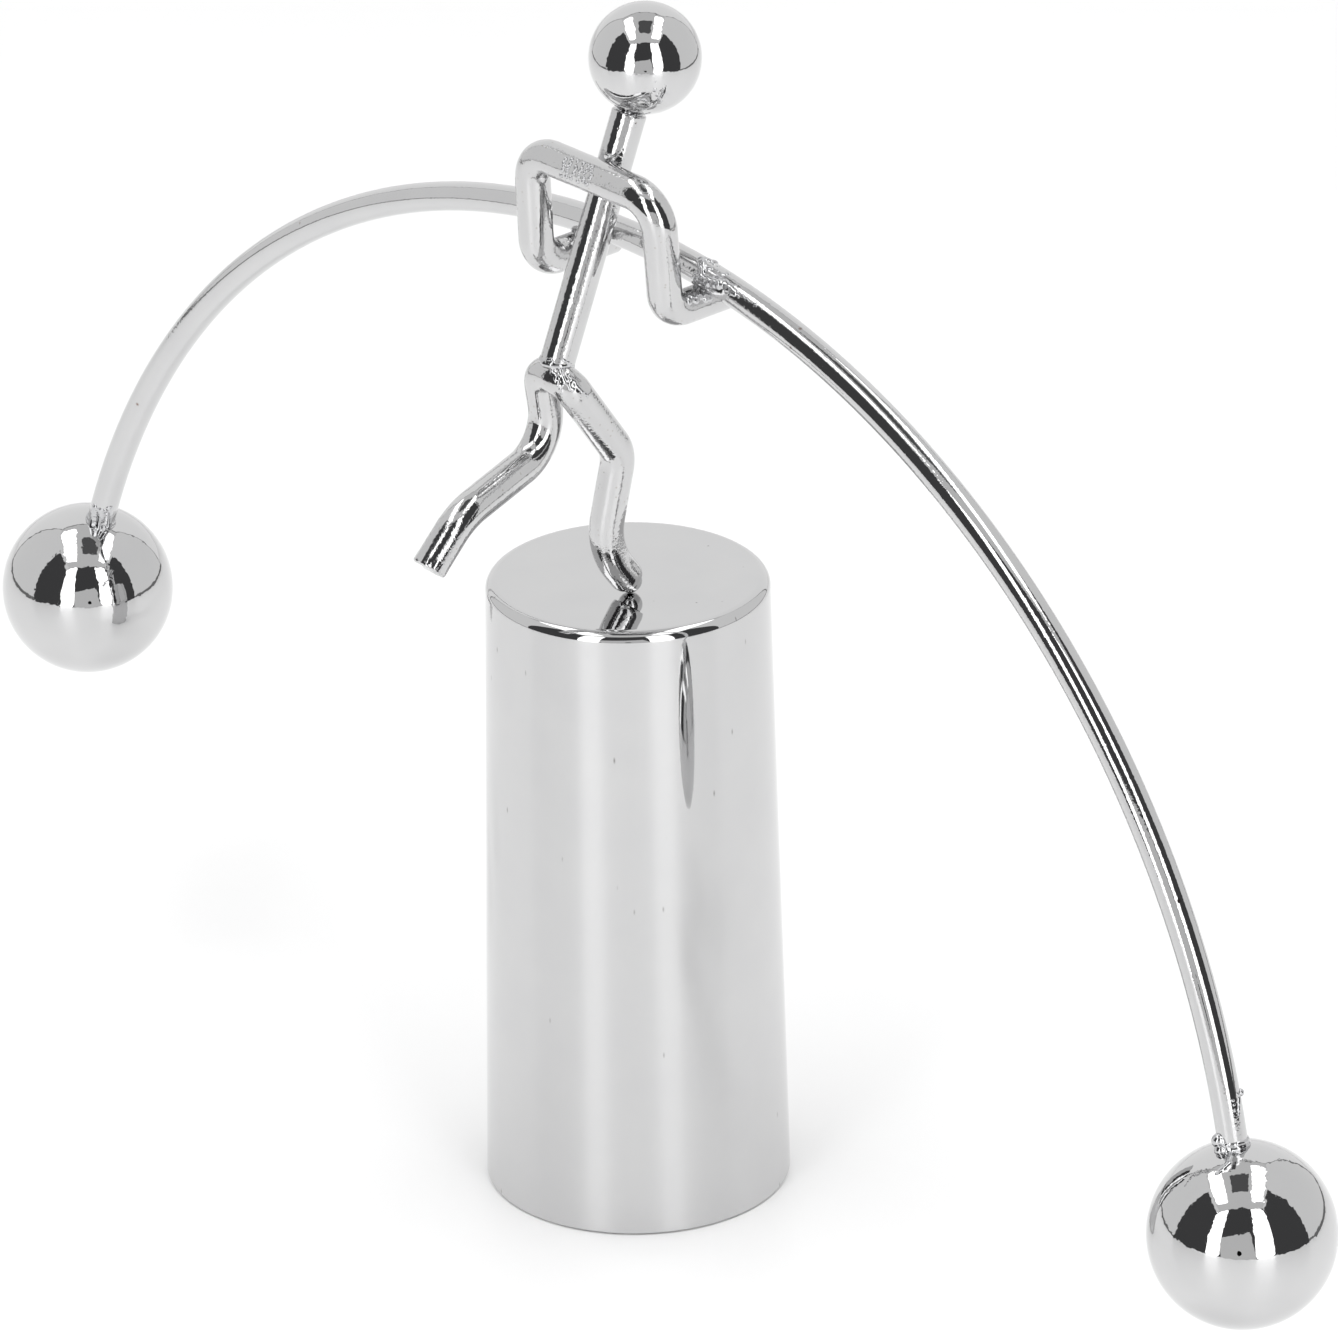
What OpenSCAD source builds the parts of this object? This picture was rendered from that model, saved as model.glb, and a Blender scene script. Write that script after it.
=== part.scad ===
// Counterweight balancing toy: a wire figure stands on one toe on a tapered stand and
// carries an arched bar with a ball at each end. The balls hang below the toe, so the
// figure swings back when it is pushed.
// X runs along the bar to the figure's right, Y is the way the figure faces, Z is up.
// The origin is on the table under the middle of the stand. All sizes are in millimetres.

/* [Stand] */
// Diameter of the stand at its foot
stand_base_d = 30; // [26:0.5:40]
// Diameter that the straight wall reaches at the mirror top
stand_top_d = 27.4; // [23:0.2:36]
// Height of the mirror top above the table
stand_h = 63.7; // [55:0.1:90]
// Radius of the rounded top rim
rim_r = 1.1; // [0.6:0.1:2]
// Thickness of the stand's wall
stand_wall = 2; // [1.5:0.1:3]
// Thickness of the mirror top
stand_top_t = 3; // [2:0.5:6]
// Height of the ballast slug
ballast_h = 36; // [20:1:45]
// Thickness of the base plate
plate_t = 2; // [1:0.5:4]
// Thickness of the foot pad
pad_t = 1; // [0.8:0.1:2]
// How far the foot pad stands out below the wall
pad_proud = 0.1; // [0.1:0.1:0.6]

/* [Toe] */
// Where the toe stands on the mirror top, to the right of its middle
toe_x = 3; // [-4:0.1:4]
// Where the toe stands on the mirror top, in front of its middle
toe_y = -2.5; // [-4:0.1:4]
// Diameter of the ball at the toe
toe_ball_d = 2.4; // [2:0.1:2.6]
// Thickness of the weld cup round the toe ball
toe_weld_t = 0.25; // [0.15:0.05:0.3]

/* [Legs] */
// Diameter of the figure's wire
wire_d = 3.36; // [3.2:0.02:3.5]
// Distance between the legs at the hip
hip_w = 3.9; // [3.7:0.05:4.4]
// Height of the hip above the mirror top
hip_z = 25.1; // [23:0.1:28]
// How far the hip lies behind the toe
hip_back = 9.2; // [8:0.1:11]
// Height of the planted ankle
ankle_z = 5.55; // [5.2:0.05:7]
// How far the planted ankle lies behind the toe
ankle_back = 3.2; // [2.8:0.1:4.6]
// How far the planted ankle leans towards the raised leg
ankle_in = 0.65; // [0:0.05:1]
// Height of the planted knee
knee_z = 15.6; // [14:0.05:17]
// How far the planted knee lies behind the toe
knee_back = 2.1; // [1:0.05:4]
// Height of the raised knee
raised_knee_z = 16.6; // [15.5:0.1:17.5]
// How far the raised knee lies behind the toe
raised_knee_back = 7.3; // [6.5:0.1:9]
// Height of the raised ankle
raised_ankle_z = 13.9; // [11:0.05:15]
// How far the raised ankle lies behind the toe
raised_ankle_back = 20.5; // [18:0.05:22]
// Height of the raised toe
raised_toe_z = 9.6; // [7:0.1:11]
// How far the raised toe lies behind the planted one
raised_toe_back = 24.4; // [22:0.1:26]
// How far the raised foot swings in towards the planted leg
raised_foot_in = 2; // [0:0.1:3]
// Bend radius of the planted ankle
ankle_bend = 8; // [3:0.5:9]
// Bend radius of the planted knee
knee_bend = 4.2; // [2:0.1:5]
// Bend radius at the hip
hip_bend = 1.8; // [1.72:0.02:1.84]
// Bend radius of the raised knee
raised_knee_bend = 4.5; // [3:0.1:5.5]
// Bend radius of the raised ankle
raised_ankle_bend = 6; // [3:0.5:9]

/* [Torso and head] */
// How far the torso leans forward
torso_lean = 18.9; // [10:0.1:26]
// Distance along the torso from the hip to the shoulders
shoulder_up = 20; // [18:0.05:22]
// Distance along the torso from the hip to the middle of the head
head_up = 31.5; // [29:0.1:36]
// Diameter of the head
head_d = 10.6; // [8:0.1:13]

/* [Arms] */
// Length of the arm wire across the shoulders
shoulder_w = 17.3; // [13:0.1:20]
// How far the right shoulder is raised against the figure's lean, as an angle
shoulder_tilt = 3; // [0:0.5:8]
// Distance between the forearms
forearm_w = 16.2; // [13:0.1:20]
// How far the arms sit to the right of the torso
arm_shift = 1.03; // [0:0.01:2]
// How far the right elbow lies in front of the shoulders
right_elbow_forward = 2.2; // [0:0.1:3]
// How far the left elbow lies in front of the shoulders
left_elbow_forward = 0.8; // [0:0.1:3]
// How far each hand reaches past the bar
hand_past = 3.5; // [2.5:0.1:5]
// How deep the bar is bedded into each forearm
hand_sink = 0.3; // [0.2:0.05:0.8]
// Bend radius of the shoulders
shoulder_bend = 3; // [1.9:0.1:3.6]
// Bend radius of the elbows
elbow_bend = 2.8; // [1.9:0.1:3.2]

/* [Bends] */
// How much thicker the wire is in a bend than beside it, on its radius
bend_swell = 0.02; // [0.01:0.01:0.03]
// How far a straight stretch reaches into a bend
bend_lap = 0.1; // [0.05:0.05:0.15]

/* [Balance bar] */
// Diameter of the bar
bar_d = 2.84; // [2.4:0.02:3.4]
// Radius of the bar's arch
bar_r = 83.5; // [75:0.1:95]
// Angle from the top of the arch to the middle of a counterweight
ball_angle = 80.1; // [72:0.1:86]
// Height of the bar's middle line at the top of the arch, above the mirror top
bar_top_z = 36.4; // [34:0.05:38]
// How far the top of the arch lies to the right of the toe
bar_x = 1.03; // [0:0.01:3]
// How far the bar lies in front of the toe
bar_y = 0.95; // [0:0.01:2]
// Diameter of the left counterweight
left_ball_d = 17.55; // [16:0.01:19]
// Diameter of the right counterweight, a little heavier so that the figure leans to its side
right_ball_d = 17.66; // [16:0.01:19]
// How deep the bar goes into a counterweight
bar_insert = 6; // [4:0.5:7]
// How deep the torso goes into the head
neck_insert = 3; // [2:0.5:4]

/* [Weld beads] */
// Radius of the bead at the shoulders
shoulder_bead_r = 1.8; // [1.75:0.05:2.4]
// Radius of the bead at the hip
hip_bead_r = 2.1; // [2:0.05:2.8]
// Radius of the bead at the right hand
right_hand_bead_r = 1.9; // [1.7:0.1:2.6]
// Radius of the bead at the left hand
left_hand_bead_r = 1.7; // [1.5:0.1:2.2]
// How far the bead at the right hand sits behind the bar
right_hand_bead_back = 0.3; // [0.2:0.1:1.2]
// How far the bead at the right hand sits to the right of the forearm
right_hand_bead_out = 0.8; // [0:0.1:1]
// How far the bead at the left hand sits behind the bar
left_hand_bead_back = 0.9; // [0.5:0.1:1.2]
// How wide the collar of weld round the bar is
collar_w = 0.7; // [0.5:0.1:1.2]
// How far the collar of weld runs up the bar
collar_h = 1.1; // [0.8:0.1:2]
// How wide the collar of weld round the neck is
neck_collar_w = 0.3; // [0.2:0.05:0.6]
// How far the collar of weld runs down the neck
neck_collar_h = 0.5; // [0.3:0.1:1]

/* [Clearances] */
// Gap between welded wires and round a bead
weld_gap = 0.03; // [0.02:0.01:0.06]
// Gap round a wire in its drilled hole
bore_gap = 0.04; // [0.02:0.01:0.1]
// Gap under and round the toe ball
toe_gap = 0.05; // [0.03:0.01:0.08]
// Gap round the ballast, the base plate and the foot pad
fit_gap = 0.1; // [0.05:0.05:0.3]

/* [Hidden] */
$fn = 64;

wire_r = wire_d / 2;
bar_wire_r = bar_d / 2;
left_ball_r = left_ball_d / 2;
right_ball_r = right_ball_d / 2;
head_r = head_d / 2;
toe_r = toe_ball_d / 2;

// Points of the figure are measured from the spot on the mirror top under the toe,
// before the figure leans into its balance.
pivot = [0, 0, toe_r + toe_gap];

leg_points = [
    pivot,
    [-ankle_in, -ankle_back, ankle_z],
    [0, -knee_back, knee_z],
    [0, -hip_back, hip_z],
    [-hip_w, -hip_back, hip_z],
    [-hip_w, -raised_knee_back, raised_knee_z],
    [raised_foot_in - hip_w, -raised_ankle_back, raised_ankle_z],
    [raised_foot_in - hip_w, -raised_toe_back, raised_toe_z]
];
leg_bends = [ankle_bend, knee_bend, hip_bend, hip_bend, raised_knee_bend, raised_ankle_bend];
foot_dir = unit(leg_points[1] - pivot);

hip = [-hip_w / 2, -hip_back, hip_z];
torso_dir = [0, sin(torso_lean), cos(torso_lean)];
torso_back = [0, -cos(torso_lean), sin(torso_lean)];
head = hip + head_up * torso_dir;
neck = hip + (head_up - head_r) * torso_dir;
torso_top = hip + (head_up - head_r + neck_insert) * torso_dir;

bar_middle = [bar_x, bar_y, bar_top_z - bar_r];
left_ball_at = bar_at(-ball_angle);
right_ball_at = bar_at(ball_angle);
left_entry = entry_angle(left_ball_r);
right_entry = entry_angle(right_ball_r);
left_end = end_angle(left_ball_r);
right_end = end_angle(right_ball_r);

arm_x = hip.x + arm_shift;
shoulder_across = [cos(shoulder_tilt), 0, sin(shoulder_tilt)];
shoulder_mid = hip + shoulder_up * torso_dir + (wire_d + weld_gap) * torso_back
    + arm_shift / cos(shoulder_tilt) * shoulder_across;
right_shoulder = shoulder_mid + shoulder_w / 2 * shoulder_across;
left_shoulder = shoulder_mid - shoulder_w / 2 * shoulder_across;
right_arm_x = arm_x + forearm_w / 2;
left_arm_x = arm_x - forearm_w / 2;
hand_y = bar_y + hand_past;
arm_points = [
    [right_arm_x, hand_y, forearm_z(right_arm_x)],
    [right_arm_x, right_shoulder.y + right_elbow_forward, forearm_z(right_arm_x)],
    right_shoulder,
    left_shoulder,
    [left_arm_x, left_shoulder.y + left_elbow_forward, forearm_z(left_arm_x)],
    [left_arm_x, hand_y, forearm_z(left_arm_x)]
];
arm_bends = [elbow_bend, shoulder_bend, shoulder_bend, elbow_bend];

// The balance: all pieces that swing are of one steel, so their volumes weigh them.
// The figure nods and leans until their common centre lies under the toe.
swinging = concat(
    rod_lumps(leg_points, leg_bends, wire_r),
    rod_lumps([hip, neck], [], wire_r),
    rod_lumps(arm_points, arm_bends, wire_r),
    [
        arc_lump(bar_middle, bar_out((right_entry - left_entry) / 2), bar_r,
            (right_entry + left_entry) / 2, bar_wire_r),
        lump(ball_volume(head_r), head),
        lump(ball_volume(left_ball_r), left_ball_at),
        lump(ball_volume(right_ball_r), right_ball_at)
    ]
);
swing_sum = [for (piece = swinging) 1] * swinging;
swing_centre = [swing_sum[1], swing_sum[2], swing_sum[3]] / swing_sum[0] - pivot;
rest_nod = atan(swing_centre.y / swing_centre.z);
rest_lean = atan(-swing_centre.x / norm([swing_centre.y, swing_centre.z]) * sign(swing_centre.z));

function unit(v) = v / norm(v);

// Way out from the middle of the arch, at an angle to the right of its top
function bar_out(angle) = [sin(angle), 0, cos(angle)];

// Place on the bar's middle line
function bar_at(angle) = bar_middle + bar_r * bar_out(angle);

// Angle at which the bar goes into a counterweight of radius ball
function entry_angle(ball) = ball_angle - 2 * asin(ball / 2 / bar_r);

// Angle at which the bar ends inside a counterweight of radius ball
function end_angle(ball) = ball_angle - (ball - bar_insert) / bar_r * 180 / PI;

// Middle line of a forearm that carries the bar at the place x
function forearm_z(x) = bar_middle.z + sqrt(pow(bar_r, 2) - pow(x - bar_x, 2))
    - bar_wire_r - wire_r + hand_sink;

// Angle that a wire turns through at the corner b
function turn(a, b, c) = acos(unit(b - a) * unit(c - b));

// Distance from the corner b to where its bend begins
function setback(a, b, c, bend) = bend * tan(turn(a, b, c) / 2);

// Middle of the bend at the corner b
function bend_middle(a, b, c, bend) =
    let (d = unit(b - a), e = unit(c - b))
    b - setback(a, b, c, bend) * d + bend * unit(e - (d * e) * d);

// Setbacks of all points of a wire, none at its ends
function setbacks(points, bends) = concat(
    [0],
    [for (i = [0:1:len(bends) - 1]) setback(points[i], points[i + 1], points[i + 2], bends[i])],
    [0]
);

// Straight stretches of a wire, each as its two ends
function straights(points, bends) =
    let (s = setbacks(points, bends))
    [for (i = [0:1:len(points) - 2])
        let (d = unit(points[i + 1] - points[i]))
        [points[i] + s[i] * d, points[i + 1] - s[i + 1] * d]];

// Volume and its first moments of a body of volume v with its centre at p
function lump(v, p) = v * [1, p.x, p.y, p.z];

function ball_volume(r) = 4 / 3 * PI * pow(r, 3);

// A wire of radius r bent round m through the angle half to both sides of the direction d
function arc_lump(m, d, bend, half, r) =
    let (arc = half * PI / 180)
    lump(2 * PI * pow(r, 2) * bend * arc, m + (bend + pow(r, 2) / (4 * bend)) * sin(half) / arc * d);

function bend_lump(a, b, c, bend, r) =
    let (m = bend_middle(a, b, c, bend))
    arc_lump(m, unit(b - m), bend, turn(a, b, c) / 2, r);

function rod_lumps(points, bends, r) = concat(
    [for (s = straights(points, bends)) lump(PI * pow(r, 2) * norm(s[1] - s[0]), (s[0] + s[1]) / 2)],
    [for (i = [0:1:len(bends) - 1])
        bend_lump(points[i], points[i + 1], points[i + 2], bends[i], r)]
);

// Puts its children at p with their Z axis along d
module aim(p, d) {
    translate(p)
        rotate([0, acos(d.z / norm(d)), atan2(d.y, d.x)])
            children();
}

module rod(a, b, r) {
    aim(a, b - a)
        cylinder(h = norm(b - a), r = r);
}

module bend_of(a, b, c, bend, r) {
    m = bend_middle(a, b, c, bend);
    d = unit(b - a);
    u = unit(b - setback(a, b, c, bend) * d - m);
    n = cross(u, d);
    multmatrix([[u.x, d.x, n.x, m.x], [u.y, d.y, n.y, m.y], [u.z, d.z, n.z, m.z], [0, 0, 0, 1]])
        rotate_extrude(angle = turn(a, b, c))
            translate([bend, 0])
                circle(r = r + bend_swell);
}

// Round wire through the points, with a rounded bend at each corner. A straight stretch
// reaches a little into the bends beside it.
module bent_rod(points, bends, r) {
    runs = straights(points, bends);
    last = len(runs) - 1;
    for (i = [0:1:last]) {
        d = unit(runs[i][1] - runs[i][0]);
        rod(runs[i][0] - (i > 0 ? bend_lap : 0) * d, runs[i][1] + (i < last ? bend_lap : 0) * d, r);
    }
    for (i = [0:1:len(bends) - 1]) {
        bend_of(points[i], points[i + 1], points[i + 2], bends[i], r);
    }
}

// Moves the figure from its drawing place to its balance on the stand
module balanced() {
    translate([toe_x, toe_y, stand_h] + pivot)
        rotate([rest_nod, rest_lean, 0])
            translate(-pivot)
                children();
}

// Radius of the stand's outer wall at the height z
function wall_r(z) = stand_base_d / 2
    + (stand_top_d - stand_base_d) / 2 * (z - pad_proud) / (stand_h - pad_proud);

// The bar with radius r, its ends longer by more
module bar_arc(r, more) {
    longer = more / bar_r * 180 / PI;
    translate(bar_middle)
        rotate([90, 0, 0])
            rotate([0, 0, 90 - right_end - longer])
                rotate_extrude(angle = left_end + right_end + 2 * longer)
                    translate([bar_r, 0])
                        circle(r = r);
}

// Ring of weld round a wire of radius r where it goes into a ball at p. It is as wide as w
// and runs up the wire, in the direction d, as far as h.
module collar(p, d, ball, r, w, h) {
    sunk = ball - sqrt(pow(ball, 2) - pow(r + w, 2));
    aim(p - sunk * d, d)
        cylinder(h = sunk + h, r1 = r + w, r2 = r + w / 3);
}

// Counterweight of radius ball with the hole for the bar
module counterweight(at, ball) {
    difference() {
        translate(at)
            sphere(r = ball);
        bar_arc(bar_wire_r + bore_gap, bore_gap);
    }
}

// Collar where the bar goes into a counterweight at the angle entry. The way along the bar
// out of the counterweight is d.
module ball_weld(at, ball, entry, d) {
    difference() {
        collar(bar_at(entry), d, ball, bar_wire_r, collar_w, collar_h);
        translate(at)
            sphere(r = ball + weld_gap);
        bar_arc(bar_wire_r + weld_gap, 0);
    }
}

// Bead of weld between the bar and the forearm at x, whose corner in arm_points is elbow. The
// bead sits behind the bar by back and to the right of the forearm by out.
module hand_weld(x, bead, back, out, elbow) {
    slope = asin((x - bar_x) / bar_r);
    difference() {
        translate([x + out, bar_y - back, forearm_z(x) + wire_r])
            sphere(r = bead);
        translate([x, bar_y, forearm_z(x)])
            rotate([90, 0, 0])
                cylinder(h = 4 * bead, r = wire_r + weld_gap, center = true);
        bend_of(arm_points[elbow - 1], arm_points[elbow], arm_points[elbow + 1], elbow_bend,
            wire_r + weld_gap);
        translate(bar_at(slope))
            rotate([0, 90 + slope, 0])
                cylinder(h = 4 * bead, r = bar_wire_r + 2 * weld_gap, center = true);
    }
}

module pedestal_shell() {
    inner_top = stand_h - stand_top_t;
    color("gainsboro")
        difference() {
            rotate_extrude()
                stand_profile();
            translate([0, 0, pad_proud])
                cylinder(h = inner_top - pad_proud, r1 = wall_r(pad_proud) - stand_wall,
                    r2 = wall_r(inner_top) - stand_wall);
        }
}

// Half outline of the stand, with the rim rounded between the wall and the top
module stand_profile() {
    slant = atan((stand_base_d - stand_top_d) / 2 / (stand_h - pad_proud));
    corner = [stand_top_d / 2, stand_h];
    back = rim_r * tan(45 - slant / 2);
    down = back * [sin(slant), -cos(slant)];
    middle = [corner.x - back, stand_h - rim_r];
    polygon([[0, pad_proud], [stand_base_d / 2, pad_proud], corner + down, middle, [middle.x, stand_h],
        [0, stand_h]]);
    intersection() {
        translate(middle)
            circle(r = rim_r);
        polygon([middle, corner + down, corner, [middle.x, stand_h]]);
    }
}

module ballast_slug() {
    floor_z = pad_t + plate_t + fit_gap;
    color("dimgray")
        translate([0, 0, floor_z])
            cylinder(h = ballast_h, r1 = wall_r(floor_z) - stand_wall - fit_gap,
                r2 = wall_r(floor_z + ballast_h) - stand_wall - fit_gap);
}

module base_plate() {
    color("slategray")
        translate([0, 0, pad_t])
            cylinder(h = plate_t, r = wall_r(pad_t + plate_t) - stand_wall - fit_gap);
}

module foot_pad() {
    color("black")
        cylinder(h = pad_t, r = wall_r(pad_t + plate_t) - stand_wall - fit_gap);
}

module toe_point() {
    color("silver")
        balanced()
            translate(pivot)
                sphere(r = toe_r);
}

module toe_weld() {
    cup_r = toe_r + toe_gap + toe_weld_t;
    color("lightgray")
        balanced()
            difference() {
                intersection() {
                    translate(pivot)
                        sphere(r = cup_r);
                    aim(pivot + cup_r / 3 * foot_dir, foot_dir)
                        cylinder(h = cup_r, r = cup_r);
                }
                translate(pivot)
                    sphere(r = toe_r + toe_gap);
            }
}

module leg_rod() {
    seat_r = toe_r + 2 * toe_gap + toe_weld_t;
    color("silver")
        balanced()
            difference() {
                bent_rod(leg_points, leg_bends, wire_r);
                translate(pivot)
                    sphere(r = seat_r);
                aim(pivot + seat_r / 2 * foot_dir, -foot_dir)
                    cylinder(h = 2 * wire_r, r = 2 * wire_r);
            }
}

module hip_weld() {
    color("lightgray")
        balanced()
            difference() {
                translate(hip + wire_r * torso_dir)
                    sphere(r = hip_bead_r);
                bent_rod(leg_points, leg_bends, wire_r + weld_gap);
                rod(hip, head, wire_r + weld_gap);
            }
}

module torso_rod() {
    color("silver")
        balanced()
            difference() {
                rod(hip, torso_top, wire_r);
                bent_rod(leg_points, leg_bends, wire_r + weld_gap);
            }
}

module head_ball() {
    color("silver")
        balanced()
            aim(head, -torso_dir)
                rotate_extrude()
                    difference() {
                        intersection() {
                            circle(r = head_r);
                            translate([0, -head_r])
                                square([head_r, 2 * head_r]);
                        }
                        translate([0, head_r - neck_insert - bore_gap])
                            square([wire_r + bore_gap, head_r]);
                    }
}

module neck_weld() {
    color("lightgray")
        balanced()
            difference() {
                collar(neck, -torso_dir, head_r, wire_r, neck_collar_w, neck_collar_h);
                translate(head)
                    sphere(r = head_r + weld_gap);
                rod(hip, head, wire_r + weld_gap);
            }
}

module arm_rod() {
    color("silver")
        balanced()
            difference() {
                bent_rod(arm_points, arm_bends, wire_r);
                bar_arc(bar_wire_r + weld_gap, 0);
            }
}

module shoulder_weld() {
    touch = hip + shoulder_up * torso_dir + (wire_r + weld_gap / 2) * torso_back;
    color("lightgray")
        balanced()
            difference() {
                translate(touch)
                    sphere(r = shoulder_bead_r);
                rod(hip, head, wire_r + weld_gap);
                rod(left_shoulder, right_shoulder, wire_r + weld_gap);
            }
}

module balance_bar() {
    color("silver")
        balanced()
            bar_arc(bar_wire_r, 0);
}

module left_hand_weld() {
    color("lightgray")
        balanced()
            hand_weld(left_arm_x, left_hand_bead_r, left_hand_bead_back, 0, 4);
}

module right_hand_weld() {
    color("lightgray")
        balanced()
            hand_weld(right_arm_x, right_hand_bead_r, right_hand_bead_back, right_hand_bead_out, 1);
}

module left_ball() {
    color("silver")
        balanced()
            counterweight(left_ball_at, left_ball_r);
}

module right_ball() {
    color("silver")
        balanced()
            counterweight(right_ball_at, right_ball_r);
}

module left_ball_weld() {
    color("lightgray")
        balanced()
            ball_weld(left_ball_at, left_ball_r, -left_entry, [cos(left_entry), 0, sin(left_entry)]);
}

module right_ball_weld() {
    color("lightgray")
        balanced()
            ball_weld(right_ball_at, right_ball_r, right_entry, [-cos(right_entry), 0, sin(right_entry)]);
}

pedestal_shell();
ballast_slug();
base_plate();
foot_pad();
toe_point();
toe_weld();
leg_rod();
hip_weld();
torso_rod();
head_ball();
neck_weld();
arm_rod();
shoulder_weld();
balance_bar();
left_hand_weld();
right_hand_weld();
left_ball();
right_ball();
left_ball_weld();
right_ball_weld();
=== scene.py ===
"""Looks of a counterweight balancing toy: a chromed wire figure that stands on one toe on a tapered
stand and carries an arched bar with a ball at each end. Sizes are in millimetres until a piece is made."""
import math
import random

import bpy
from mathutils import Matrix, Vector


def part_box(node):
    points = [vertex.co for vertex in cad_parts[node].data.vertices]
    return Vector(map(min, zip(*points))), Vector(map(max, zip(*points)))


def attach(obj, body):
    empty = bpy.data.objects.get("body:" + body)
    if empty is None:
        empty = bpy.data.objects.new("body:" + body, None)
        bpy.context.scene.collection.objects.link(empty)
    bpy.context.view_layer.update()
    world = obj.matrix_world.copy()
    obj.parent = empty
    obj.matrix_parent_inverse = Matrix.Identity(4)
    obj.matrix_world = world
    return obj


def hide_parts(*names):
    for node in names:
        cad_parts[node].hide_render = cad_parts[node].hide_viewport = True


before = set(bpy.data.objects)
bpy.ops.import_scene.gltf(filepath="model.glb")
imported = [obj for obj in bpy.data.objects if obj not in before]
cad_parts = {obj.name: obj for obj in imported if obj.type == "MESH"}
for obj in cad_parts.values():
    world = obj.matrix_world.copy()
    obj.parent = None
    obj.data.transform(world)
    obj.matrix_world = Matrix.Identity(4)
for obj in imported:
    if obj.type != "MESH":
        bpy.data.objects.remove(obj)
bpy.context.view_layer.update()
MM = 0.001

# Stand
STAND_BASE_D = 30.0
STAND_TOP_D = 27.4
STAND_H = 63.7
STAND_WALL = 2.0
STAND_TOP_T = 3.0
RIM_R = 1.1
FOOT_EDGE_R = 0.25
PAD_PROUD = 0.1

# Toe
TOE_BALL_R = 1.2
TOE_GAP = 0.05
TOE_WELD_T = 0.25
FOOT_ROUND = 0.95
TOE_WORN_ANGLE = 4.0
CUP_ANGLE = math.degrees(math.acos(1 / 3))
CUP_LIP_ANGLE = 3.0

# Figure wire and bar
WIRE_R = 1.68
BAR_WIRE_R = 1.42
CUT_EDGE_R = 0.18
END_LENGTH = 1.0
TORN_REACH = 1.75
TORN_GRAIN = 0.5
TORN_DEPTH = 0.4
WELD_GAP = 0.03
BORE_GAP = 0.06

# Legs, from the spot on the mirror top under the toe
HIP_W = 3.9
HIP_Z = 25.1
HIP_BACK = 9.2
ANKLE_Z = 5.55
ANKLE_BACK = 3.2
ANKLE_IN = 0.65
KNEE_Z = 15.6
KNEE_BACK = 2.1
RAISED_KNEE_Z = 16.6
RAISED_KNEE_BACK = 7.3
RAISED_ANKLE_Z = 13.9
RAISED_ANKLE_BACK = 20.5
RAISED_TOE_Z = 9.6
RAISED_TOE_BACK = 24.4
RAISED_FOOT_IN = 2.0
ANKLE_BEND = 8.0
KNEE_BEND = 4.2
HIP_BEND = 1.8
RAISED_KNEE_BEND = 4.5
RAISED_ANKLE_BEND = 6.0

# Torso and head
TORSO_LEAN = math.radians(18.9)
SHOULDER_UP = 20.0
HEAD_UP = 31.5
HEAD_R = 5.3
NECK_INSERT = 3.0
NECK_PEG_R = 1.0
TORSO_FOOT = 1.3

# Arms
SHOULDER_W = 17.3
SHOULDER_TILT = math.radians(3)
FOREARM_W = 16.2
ARM_SHIFT = 1.03
RIGHT_ELBOW_FORWARD = 2.2
LEFT_ELBOW_FORWARD = 0.8
HAND_PAST = 3.5
HAND_SINK = 0.3
SHOULDER_BEND = 3.0
ELBOW_BEND = 2.8

# Bar and counterweights
BAR_R = 83.5
BALL_ANGLE = math.radians(80.1)
BAR_TOP_Z = 36.4
BAR_X = 1.03
BAR_Y = 0.95
LEFT_BALL_R = 8.775
RIGHT_BALL_R = 8.83
BAR_INSERT = 6.0

# How finely the pieces are made
WIRE_SIDES = 64
BALL_SIDES = 128
STAND_SIDES = 256
BEND_STEP = math.radians(3)
ARC_STEPS = 12
BALL_STEPS = 96
BAR_STEPS = 220
EDGE_LOOP = 0.05
POLE_R = 0.02
POLE_ANGLE = 1.0
SMOOTH_ANGLE = math.radians(35)
MERGE_UNDER = 1e-7

# The picture that the camera takes, in its own pixels
PHOTO_W = 1338
PHOTO_H = 1334
CAMERA_TURN = math.radians(47.226)
CAMERA_RISE = math.radians(24.527)
CAMERA_ROLL = math.radians(0.968)
FOCAL_PIXELS = 9045.6
CAMERA_AWAY = 870.06
AIM_HEIGHT = 60.0
AIM_PIXEL = (628.354, 610.794)
SENSOR_W = 36.0
CLIP_NEAR = 10.0

TO_CAMERA = Vector((math.sin(CAMERA_TURN), -math.cos(CAMERA_TURN), 0))
TO_RIGHT = Vector((math.cos(CAMERA_TURN), math.sin(CAMERA_TURN), 0))
UP = Vector((0, 0, 1))
SEEN_FROM = TO_CAMERA * math.cos(CAMERA_RISE) + UP * math.sin(CAMERA_RISE)
SEEN_UP = SEEN_FROM.cross(TO_RIGHT)


def toe_centre():
    """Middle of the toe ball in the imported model, in metres."""
    low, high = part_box("toe_point")
    return (low + high) / 2


def ball_centre(node):
    """Middle of a counterweight, whose top is cut by the bar's hole."""
    low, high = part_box(node)
    return Vector(((low.x + high.x) / 2, (low.y + high.y) / 2, low.z + (high.x - low.x) / 2))


# The figure leans into its balance about the toe ball
TOE = toe_centre()
BAR_LINE = ball_centre("right_ball") - ball_centre("left_ball")
LEAN = Matrix.Rotation(math.atan2(-BAR_LINE.z, BAR_LINE.x), 3, "Y")
PIVOT = Vector((0, 0, TOE_BALL_R + TOE_GAP))


def placed(point):
    """Place in metres of a point of the upright figure, given in millimetres."""
    return TOE + LEAN @ (Vector(point) - PIVOT) * MM


def turned_way(direction):
    """Direction in the leaning figure of one in the upright figure."""
    return LEAN @ Vector(direction)


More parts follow.
